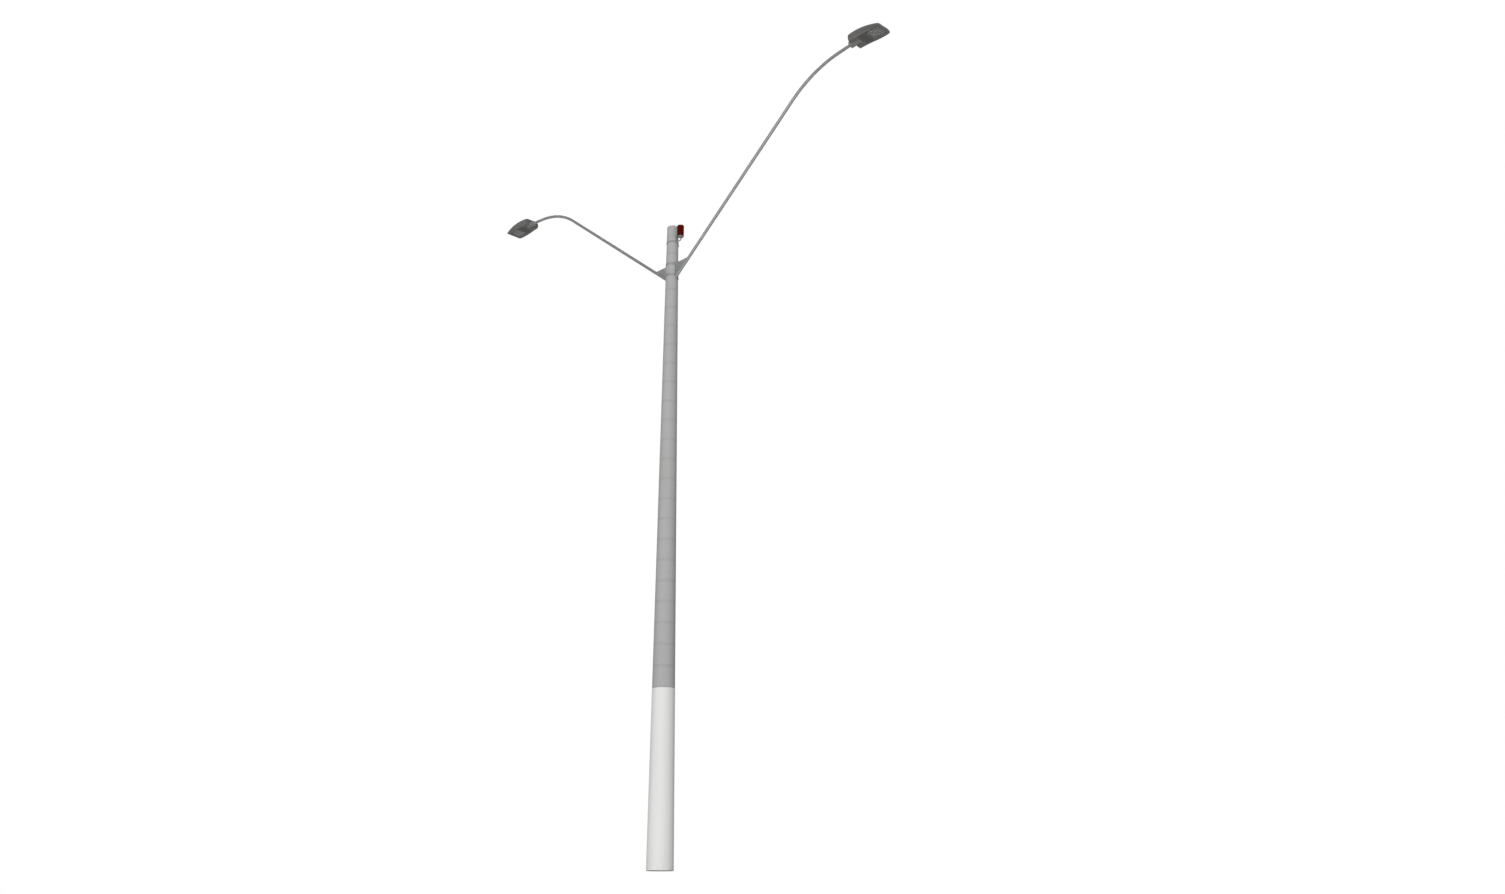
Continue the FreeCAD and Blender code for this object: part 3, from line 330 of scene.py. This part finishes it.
def two_skins(name, outside, inside, rows, window):
    """A closed wall between two skins of the same rows, with a window of missing cells."""
    columns = ring_edges[-1]
    row0, row1, col0, col1 = window
    keep = np.ones((rows - 1, columns), bool)
    keep[row0:row1, col0:col1] = False
    count = rows * columns
    loop = [(row0, c) for c in range(col0, col1)] + [(r, col1) for r in range(row0, row1)]
    loop += [(row1, c) for c in range(col1, col0, -1)] + [(r, col0) for r in range(row1, row0, -1)]
    edge = np.array([r * columns + c for r, c in loop])
    after = np.roll(edge, -1)
    rim = [np.stack([edge, after, after + count, edge + count], axis=-1)]
    for row in (0, rows - 1):
        first = row * columns + np.arange(columns)
        second = row * columns + (np.arange(columns) + 1) % columns
        rim.append(np.stack([first, second, second + count, first + count], axis=-1))
    faces = np.concatenate([grid_faces(rows, columns, keep),
                            grid_faces(rows, columns, keep, count)] + rim)
    return joined(name, np.concatenate([outside, inside]), faces, "root")


def concrete_skin():
    """The post: its outer skin has the door's flat, its inner skin is one wall further in."""
    low = door_low - facet_margin
    high = door_high + facet_margin
    z = np.concatenate([
        np.linspace(0, low, rows_below_door), [low],
        np.linspace(door_low + sleeve_inset, door_high - sleeve_inset, rows_beside_door),
        [high], np.linspace(high, post_top, rows_above_door)])
    first_open = rows_below_door + 1
    last_open = rows_below_door + rows_beside_door
    flat = np.zeros(len(z), bool)
    flat[rows_below_door:last_open + 2] = True
    radius = post_radius(z)
    at_door = post_radius(np.clip(z, low, high))
    opening = np.full_like(z, math.atan2(facet_y, sleeve_reach))
    outside = ring_of_skin(z, radius, marks_of(np.arcsin(facet_y / at_door), opening), flat)
    bore = radius - post_wall
    sleeve = np.arccos(sleeve_reach / (at_door - post_wall))
    inside = ring_of_skin(z, bore, marks_of(sleeve - bore_mark_gap, sleeve), np.zeros_like(flat))
    window = (first_open, last_open, ring_edges[2], ring_edges[3])
    return two_skins("post_skin", outside, inside, len(z), window)


def spun_concrete():
    """Cloudy grey with upright streaks, a darker ring at each hoop, and pores in patches."""
    finish = Finish("spun_concrete", Specular_IOR_Level=0.3)
    cloud = finish.noise(1.4, 3.0, finish.stretch((1.0, 1.0, 0.35)))
    mottle = finish.noise(38.0, 5.0)
    streak = finish.noise(9.0, 3.0, finish.stretch((1.0, 1.0, 0.06)))
    turn = finish.math("COSINE", finish.z * (2 * math.pi / hoop_pitch))
    hoop = finish.band(turn, 0.80, 1.0)
    pore, _ = finish.cells(260.0)
    pit = 1 - finish.band(pore, 0.10, 0.22)
    patch = finish.band(finish.noise(22.0), 0.50, 0.62)
    level = (1.0 + (cloud - 0.5) * 0.12 + (mottle - 0.5) * 0.14 + (streak - 0.5) * 0.12
             - hoop * 0.07 - pit * patch * 0.28)
    grey, stain = (0.415, 0.415, 0.415), (0.386, 0.381, 0.367)
    colour = finish.blend(finish.band(streak, 0.5, 0.8), grey, stain)
    finish.set(Base_Color=finish.shade(colour, level),
               Roughness=0.86 - (mottle - 0.5) * 0.15)
    return finish.bump(mottle * 0.35 - pit * patch + hoop * 0.2, 0.0006).on("concrete_post")


concrete_finish = spun_concrete()
post_skin = concrete_skin()
post_skin.data.materials.append(concrete_finish.material)
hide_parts("concrete_post")


# White paint on the foot
# Road-marking paint rolled on to the lower post, chalky, with rain streaks and splashed dirt;
# its upper edge was cut in by hand along a string, so it wanders by a few millimetres.

paint_start, paint_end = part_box("paint_coat")[0].z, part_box("paint_coat")[1].z
paint_thickness = 0.0009
paint_bite = 0.0005
paint_rows = (14, 10, 40)
paint_inner_mark = 1.25
edge_drop, edge_waves = 0.003, ((0.0016, 3, 0.0), (0.0010, 7, 1.0))
edge_step = 0.08


def paint_skin():
    """The coat: the post's radius and a little more, up to an edge that wanders as two sines."""
    low = door_low - facet_margin
    high = door_high + facet_margin
    below, beside, above = paint_rows
    z = np.concatenate([np.linspace(paint_start, low, below), np.linspace(low, high, beside)[1:],
                        np.linspace(high, paint_end, above)[1:]])
    radius = post_radius(z)
    at_door = post_radius(np.clip(z, low, high))
    marks = marks_of(np.arcsin(facet_y / at_door), np.full_like(z, paint_inner_mark))
    flat = np.zeros(len(z), bool)
    outside = ring_of_skin(z, radius + paint_thickness, marks, flat)
    inside = ring_of_skin(z, radius - paint_bite, marks, flat)
    around = np.arange(ring_edges[-1]) * edge_step
    wander = edge_drop + sum(size * np.sin(waves * around + start)
                             for size, waves, start in edge_waves)
    outside[-len(around):, 2] -= wander
    inside[-len(around):, 2] -= wander
    window = (below - 1, below + beside - 2, ring_edges[1], ring_edges[4])
    return two_skins("paint_skin", outside, inside, len(z), window)


def white_paint():
    """Chalky white with faint upright streaks, and a little splashed dirt near the ground."""
    finish = Finish("white_paint", Specular_IOR_Level=0.4)
    streak = finish.noise(16.0, 3.0, finish.stretch((1.0, 1.0, 0.05)))
    chalk = finish.noise(30.0, 4.0)
    near_ground = 1 - finish.band(finish.z, 0.0, 0.45)
    splash = near_ground * finish.band(finish.noise(60.0, 6.0), 0.45, 0.75)
    level = 1.0 + (streak - 0.5) * 0.08 + (chalk - 0.5) * 0.04
    clean = finish.shade((0.755, 0.755, 0.748), level)
    finish.set(Base_Color=finish.blend(splash * 0.18, clean, (0.42, 0.41, 0.39)),
               Roughness=0.55 + chalk * 0.2)
    return finish.bump(finish.noise(180.0, 3.0), 0.0005).on("paint_coat")


paint_finish = white_paint()
foot_paint = paint_skin()
foot_paint.data.materials.append(paint_finish.material)
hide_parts("paint_coat")


# Zinc-coated steel
# Bands, saddles, webs and tubes are hot-dip galvanised: dull grey, in patches of crystal
# that each catch the light a little differently, with whiter runs where rain has stood.

def both(*names):
    """The right and left nodes of each pair."""
    return [side + name for name in names for side in ("right_", "left_")]


def galvanised(name, colour, roughness, nodes):
    """Crystals of slightly different tone and gloss, with whiter runs between them."""
    finish = Finish(name, Specular_IOR_Level=0.5)
    warp = finish.noise(40.0)
    near, shade = finish.cells(90.0)
    tone, _, _ = finish.parts(shade)
    white = finish.band(finish.noise(11.0, 4.0), 0.52, 0.72)
    level = 0.93 + (tone - 0.5) * 0.16 + (warp - 0.5) * 0.12
    runs = (0.42, 0.43, 0.43)
    finish.set(Base_Color=finish.blend(white * 0.35, finish.shade(colour, level), runs),
               Metallic=0.55 - white * 0.25,
               Roughness=roughness + (tone - 0.5) * 0.18 + white * 0.15)
    return finish.bump(near * 0.4 + warp, 0.00015).on(*nodes)


galvanised("galvanised_steel", (0.39, 0.395, 0.40), 0.58,
           ["upper_arm_band", "lower_arm_band", "lamp_band", "lamp_saddle", "lamp_pipe",
            "fuse_board", "door_frame"] + both("arm_saddle", "arm_gusset"))
galvanised("zinc_bolts", (0.40, 0.405, 0.40), 0.36,
           ["band_bolts", "door_hinge_pins", "earth_stud"]
           + both("clamp_screws", "tilt_bolt", "cover_pins"))


# Arm tubes
# Each arm is one galvanised steel pipe, cold-bent in a single long sweep between its straight
# rise and its nearly level tip, and mitred and welded to the saddle on the post.

arm_radius = 0.02415
arm_rise = math.radians(38.3)
arm_tip = math.radians(5.5)
arm_at_post = 9.195
bend_start = 2.754
bend_radius = 1.836
tip_length = 0.436
fitter_stop = 0.050
saddle_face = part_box("right_arm_saddle")[1].x
sweep = bend_radius * (arm_rise - arm_tip)
rise_rows, sweep_rows, tip_rows = 14, 48, 6
first_ring, last_ring = 0.30, 0.02
tube_columns = 36


def arm_axis(distance):
    """The axis at a distance from the bend's start: a straight line before it, then an arc whose
    slope falls by distance / radius, then a straight line. Returns x, z and the slope."""
    along_arc = np.clip(distance, 0.0, sweep)
    slope = arm_rise - along_arc / bend_radius
    centre_x = bend_start + bend_radius * math.sin(arm_rise)
    centre_z = arm_at_post + bend_start * math.tan(arm_rise) - bend_radius * math.cos(arm_rise)
    x = centre_x - bend_radius * np.sin(slope) + (distance - along_arc) * np.cos(slope)
    z = centre_z + bend_radius * np.cos(slope) + (distance - along_arc) * np.sin(slope)
    return x, z, slope


def half_turn(points, side):
    """The right arm's points as they are, or turned half round the post for the left arm."""
    return points if side == "right_" else points * np.array([-1.0, -1.0, 1.0])


def capped(rows, columns):
    """The faces of a tube of rows of points, with its two ends closed by one face each."""
    last = (rows - 1) * columns
    return (list(grid_faces(rows, columns))
            + [np.arange(columns)[::-1], last + np.arange(columns)])


def arm_tube(side):
    """A circle carried along the axis; the first circle lies in the plane of the saddle's face."""
    reach = bend_start / math.cos(arm_rise)
    tip_end = sweep + tip_length - fitter_stop
    distance = np.concatenate([[-reach], np.linspace(first_ring - reach, -last_ring, rise_rows),
                               np.linspace(0.0, sweep, sweep_rows),
                               np.linspace(sweep, tip_end, tip_rows)[1:]])
    turn = np.linspace(0, 2 * np.pi, tube_columns, endpoint=False)
    mitre = saddle_face - bend_start + arm_radius * np.cos(turn) * math.sin(arm_rise)
    distance = np.maximum(distance[:, None], (mitre / math.cos(arm_rise))[None, :])
    x, z, slope = arm_axis(distance)
    points = np.stack([x - arm_radius * np.cos(turn) * np.sin(slope),
                       np.broadcast_to(arm_radius * np.sin(turn), x.shape),
                       z + arm_radius * np.cos(turn) * np.cos(slope)], axis=-1)
    return joined(side + "arm_pipe", half_turn(points.reshape(-1, 3), side),
                  capped(*x.shape), "root")


tube_finish = galvanised("galvanised_tube", (0.36, 0.365, 0.37), 0.52, both("arm_tube"))
for side in ("right_", "left_"):
    pipe = arm_tube(side)
    pipe.data.materials.append(tube_finish.material)
    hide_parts(side + "arm_tube")


# Weld beads
# Hand-laid fillet welds, galvanised over: round the foot of each tube, and down both faces of
# each web where it meets the saddle and the tube. The ripples are the welder's weave.

bead_radius = 0.0036
ripple_pitch = 0.0042
ripple_depth = 0.14
bead_columns = 8
tube_foot_points = 160
web_half = 0.004
web_top = 9.5295


def bead(name, path, closed, side):
    """A round bead along a path, its radius rippling as a cosine of the length laid."""
    steps = np.linalg.norm(np.diff(path, axis=0), axis=1)
    laid = np.concatenate([[0.0], np.cumsum(steps)])
    radius = bead_radius * (1 + ripple_depth * np.cos(2 * np.pi * laid / ripple_pitch))
    ahead = np.gradient(path, axis=0)
    ahead /= np.linalg.norm(ahead, axis=1)[:, None]
    level = np.array([0.0, 1.0, 0.0]) if not closed else np.array([1.0, 0.0, 0.0])
    out = np.cross(ahead, level)
    out /= np.linalg.norm(out, axis=1)[:, None]
    side_way = np.cross(ahead, out)
    turn = np.linspace(0, 2 * np.pi, bead_columns, endpoint=False)[None, :, None]
    ring = np.cos(turn) * out[:, None, :] + np.sin(turn) * side_way[:, None, :]
    points = path[:, None, :] + ring * radius[:, None, None]
    return joined(name, half_turn(points.reshape(-1, 3), side), capped(len(path), bead_columns),
                  "root", smooth_angle=60.0)


def straight(first, last):
    """Points at a quarter of the ripple's pitch between two ends."""
    count = int(np.linalg.norm(np.subtract(last, first)) / ripple_pitch * 4) + 2
    return np.linspace(first, last, count)


def arm_height(x):
    """The top of the straight tube above a place on it."""
    return arm_at_post + x * math.tan(arm_rise) + arm_radius / math.cos(arm_rise)


def tube_foot():
    """The ellipse where the tube's cylinder meets the saddle's upright face."""
    turn = np.linspace(0, 2 * np.pi, tube_foot_points)
    return np.stack([np.full_like(turn, saddle_face), arm_radius * np.sin(turn),
                     arm_at_post + saddle_face * math.tan(arm_rise)
                     + arm_radius * np.cos(turn) / math.cos(arm_rise)], axis=-1)


web_tip = (web_top - arm_at_post - arm_radius / math.cos(arm_rise)) / math.tan(arm_rise)
weld_finish = galvanised("weld_zinc", (0.36, 0.365, 0.37), 0.60, [])
for side in ("right_", "left_"):
    beads = [bead(side + "weld_tube_foot", tube_foot(), True, side)]
    for face, way in (("front", -1), ("back", 1)):
        y = way * web_half
        foot = straight((saddle_face, y, arm_height(saddle_face)), (saddle_face, y, web_top))
        slant = straight((saddle_face, y, arm_height(saddle_face)), (web_tip, y, arm_height(web_tip)))
        beads.append(bead(side + "weld_web_saddle_" + face, foot, False, side))
        beads.append(bead(side + "weld_web_tube_" + face, slant, False, side))
    for piece in beads:
        piece.data.materials.append(weld_finish.material)


# Painted steel door
# A pressed steel plate with rounded corners, hung on two pins, in grey two-pack paint over zinc
# that dust has dulled. The plate that closes the post's top has the same paint.

def door_paint():
    """Grey paint with a fine orange peel, dulled in broad patches by dust."""
    finish = Finish("door_paint", Specular_IOR_Level=0.45)
    peel = finish.noise(420.0, 2.0)
    dust = finish.noise(9.0, 4.0, finish.stretch((1.0, 1.0, 0.4)))
    finish.set(Base_Color=finish.shade((0.36, 0.37, 0.37), 0.92 + (dust - 0.5) * 0.2),
               Roughness=0.42 + dust * 0.2)
    return finish.bump(peel, 0.0002).on("service_door", "top_cap")


door_paint()


# Mouldings, rubber, brass and cable sheath
# The small pieces behind the door and under the lids: moulded plastic, extruded rubber, printed
# boards and a cast brass lock, all fixed with screws or pressed into grooves.

def moulding(name, colour, roughness, grain, nodes):
    """One colour with a fine grain of its own scale and a faint broad unevenness."""
    finish = Finish(name, Specular_IOR_Level=0.4)
    fine = finish.noise(grain, 3.0)
    broad = finish.noise(12.0, 2.0)
    finish.set(Base_Color=finish.shade(colour, 0.92 + (broad - 0.5) * 0.2 + (fine - 0.5) * 0.1),
               Roughness=roughness + (fine - 0.5) * 0.2)
    return finish.bump(fine, 0.0002).on(*nodes)


moulding("black_rubber", (0.022, 0.022, 0.023), 0.75, 900.0,
         ["door_seal", "lamp_seal"] + both("cover_seal"))
moulding("black_moulding", (0.035, 0.035, 0.037), 0.45, 700.0,
         ["fuse_unit"] + both("surge_protector"))
moulding("grey_moulding", (0.32, 0.33, 0.34), 0.45, 700.0,
         ["left_fuse_carrier", "right_fuse_carrier"] + both("terminal_block"))
moulding("cable_sheath", (0.03, 0.03, 0.032), 0.5, 500.0, both("feed_cable"))
moulding("driver_case", (0.62, 0.63, 0.64), 0.4, 300.0, both("led_driver"))
moulding("led_board", (0.75, 0.76, 0.74), 0.5, 300.0, both("led_board"))


def brass_lock():
    """Cast brass, dulled brown in patches."""
    finish = Finish("brass_lock", Specular_IOR_Level=0.5)
    dull = finish.noise(60.0, 3.0)
    finish.set(Base_Color=finish.blend(dull, (0.42, 0.30, 0.13), (0.24, 0.17, 0.08)),
               Metallic=0.9, Roughness=0.3 + dull * 0.3)
    return finish.bump(finish.noise(700.0), 0.0001).on("door_lock")


brass_lock()


# Lantern castings
# Pressure-cast aluminium, powder-coated dark grey with a fine pebble. The coat has weathered in
# patches, and along the ridge between flank and belly a pale line is painted on as a highlight.

# The grey and the bounds of the painted highlight along the ridge between flank and belly.
highlight_grey = (0.26, 0.255, 0.245)
ridge_inner, ridge_outer = (0.1325, 0.1360), (0.1395, 0.1450)
ridge_low = (0.006, 0.012)


def casting(name, colour, nodes):
    """Powder coat with a fine pebble and patches of weathering, with a painted highlight along the
    ridges.
    """
    finish = Finish(name, Specular_IOR_Level=0.4)
    pebble = finish.noise(650.0, 3.0)
    weather = finish.noise(7.0, 4.0)
    tone = finish.shade(colour, 0.92 + (weather - 0.5) * 0.22 + (pebble - 0.5) * 0.1)
    if name == "lantern_casting":
        # Blends in the painted highlight along the ridge between flank and belly.
        tone = finish.blend(painted_ridge_highlight(finish, weather) * 0.55, tone, highlight_grey)
    finish.set(Base_Color=tone, Roughness=0.58 + (weather - 0.5) * 0.2)
    return finish.bump(pebble, 0.00025).on(*nodes)


def painted_ridge_highlight(finish, weather):
    """A painted highlight: a pale line along the ridge between flank and belly, broken into patches.
    """
    out = finish.math("ABSOLUTE", finish.y)
    line = finish.band(out, *ridge_inner) * (1 - finish.band(out, *ridge_outer))
    low = 1 - finish.band(finish.z, cover_face + ridge_low[0], cover_face + ridge_low[1])
    return line * low * finish.band(weather, 0.25, 0.5)


cover_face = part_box("right_gear_cover")[0].z
casting_finish = casting("lantern_casting", (0.162, 0.160, 0.156), both("head_housing"))
casting("fitter_casting", (0.235, 0.232, 0.225), both("slip_fitter"))
casting("cover_casting", (0.105, 0.103, 0.100),
        both("gear_cover", "cover_latch_1", "cover_latch_2"))
casting("lamp_casting", (0.27, 0.245, 0.24), ["lamp_base", "lamp_core"])


# Flank ribs
# Low cross ribs cast on the sloping flanks of each lantern. They stiffen the thin wall and add
# a little cooling surface, and run out to nothing at the belly's edge and at the rim.

head_rear, head_length = -0.100, 0.570
belly_level, belly_half = -0.049, 0.138
rim_half = (0.160, 0.189, 0.155)
rim_rear, rim_fall = 0.011, 0.058
rib_pitch = 0.0095
rib_width = 0.0040
rib_rise = 0.0024
rib_root = 0.0006
rib_inset = 0.030
rib_profile = ((-0.5, False), (-0.35, True), (0.35, True), (0.5, False))
rib_stations = np.linspace(0.04, 0.96, 9)
tilt_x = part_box("right_head_housing")[0].x - head_rear
tilt_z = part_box("right_cover_pins")[0].z + 0.002 - belly_level


def head_bow(share, rear, middle, front):
    """The smooth curve through a value at the rear, the middle and the front of the lantern."""
    bend = 2 * rear - 4 * middle + 2 * front
    return rear + (front - rear - bend) * share + bend * share * share


def flank_ribs(side):
    """Each rib is a low arch: across it a flat-topped ridge, along it a height that follows
    the square root of the sine of the way from the belly's edge to the rim."""
    x = np.arange(head_rear + rib_inset, head_rear + head_length - rib_inset, rib_pitch)
    share = (x - head_rear) / head_length
    out_y = (head_bow(share, *rim_half) - belly_half)[:, None]
    up_z = (rim_rear - rim_fall * share - belly_level)[:, None]
    slant = np.hypot(out_y, up_z)
    y = belly_half + out_y * rib_stations
    z = belly_level + up_z * rib_stations
    height = rib_rise * np.sin(np.pi * rib_stations) ** 0.5
    corners = []
    for offset, on_top in rib_profile:
        rise = height if on_top else np.full_like(height, -rib_root)
        corners.append(np.stack([np.broadcast_to((x + offset * rib_width)[:, None], y.shape),
                                 y + up_z / slant * rise, z - out_y / slant * rise], axis=-1))
    one_side = np.stack(corners, axis=2)
    both_sides = np.concatenate([one_side, one_side * np.array([1.0, -1.0, 1.0])])
    points = both_sides.reshape(-1, 3) + np.array([tilt_x, 0.0, tilt_z])
    corners_each = len(rib_stations) * len(rib_profile)
    faces = [np.asarray(face) + rib * corners_each for rib in range(len(both_sides))
             for face in capped(len(rib_stations), len(rib_profile))]
    return joined(side + "flank_ribs", half_turn(points, side), faces, side + "head",
                  smooth_angle=30.0)


for side in ("right_", "left_"):
    ribs = flank_ribs(side)
    ribs.data.materials.append(casting_finish.material)


# Clear lenses
# Each lantern's lights are covered by one clear acrylic plate, moulded with a dome under each
# and held in the casting; the years have hazed it a little.

def clear_lens():
    """Clear acrylic whose haze varies softly over the plate."""
    finish = Finish("clear_lens", Transmission_Weight=0.70, IOR=1.49, Specular_IOR_Level=0.3)
    haze = finish.noise(30.0, 4.0)
    finish.set(Base_Color=finish.shade((0.69, 0.69, 0.69), 0.9 + haze * 0.1),
               Roughness=0.22 + haze * 0.12)
    return finish.bump(haze, 0.0001).on(*both("lens_plate"))


clear_lens()


# Red lens of the obstruction light
# One moulded drum of dark red polycarbonate with upright flutes that spread its light, a
# rounded crown and a knob; a quarter turn on its base frees it.

lens_low_corner, lens_high_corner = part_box("lamp_lens")
lamp_x = (lens_low_corner.x + lens_high_corner.x) / 2
lens_radius = (lens_high_corner.x - lens_low_corner.x) / 2
lens_crown = lens_high_corner.z - 0.008
lens_shoulder = 0.014
knob_radius = 0.011
flutes = 20
flute_depth = 0.0022
flute_start, flute_end = 14, 9
wall_rows, shoulder_rows, points_per_flute = 20, 7, 12
deep_red, bright_red = (0.040, 0.0014, 0.0011), (0.125, 0.0040, 0.0026)


def red_lens():
    """Dark red, brighter along each flute's crest and darker at the foot, under a little grime."""
    finish = Finish("red_lens", IOR=1.49, Specular_IOR_Level=0.04)
    grime = finish.noise(18.0, 4.0, finish.stretch((1.0, 1.0, 0.2)))
    around = finish.math("ARCTAN2", finish.y, finish.x - lamp_x)
    stripe = finish.band(finish.math("COSINE", around * flutes), -0.6, 0.9)
    ends = finish.band(finish.z, lens_low_corner.z, lens_low_corner.z + 0.012)
    red = finish.blend(stripe, deep_red, bright_red)
    finish.set(Base_Color=finish.shade(red, (0.75 + grime * 0.5) * (0.35 + ends * 0.65)),
               Roughness=0.28 + grime * 0.2)
    return finish.bump(grime, 0.0002).on("lamp_lens")


def lens_drum():
    """A wall whose radius dips by a cosine at each flute, fading in and out along its height, a
    quarter-circle shoulder, a flat crown, and the knob with its own small rounding."""
    height = lens_crown - lens_low_corner.z
    bend = np.linspace(0, np.pi / 2, shoulder_rows)
    knob = knob_radius - np.array([-0.0015, 0.0, 0.0, 0.0008, 0.0025, 0.0098])
    radius = np.concatenate([np.full(wall_rows, lens_radius),
                             lens_radius - lens_shoulder * (1 - np.cos(bend[1:])), knob])
    top = lens_high_corner.z
    z = np.concatenate([np.linspace(lens_low_corner.z, lens_crown - lens_shoulder, wall_rows),
                        lens_crown - lens_shoulder * (1 - np.sin(bend[1:])),
                        [lens_crown, lens_crown + 0.0015, top - 0.0022, top - 0.0007, top, top]])
    level = (z - lens_low_corner.z) / height
    fade = np.clip(level * flute_start, 0, 1) * np.clip((1 - level) * flute_end, 0, 1)
    turn = np.linspace(0, 2 * np.pi, flutes * points_per_flute, endpoint=False)
    reach = radius[:, None] - flute_depth * fade[:, None] * (0.5 - 0.5 * np.cos(flutes * turn))
    points = np.stack([lamp_x + reach * np.cos(turn), reach * np.sin(turn),
                       np.broadcast_to(z[:, None], reach.shape)], axis=-1)
    return joined("red_lens_drum", points.reshape(-1, 3), capped(*reach.shape), "lamp_lens",
                  smooth_angle=50.0)


red_finish = red_lens()
drum = lens_drum()
drum.data.materials.append(red_finish.material)
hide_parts("lamp_lens")
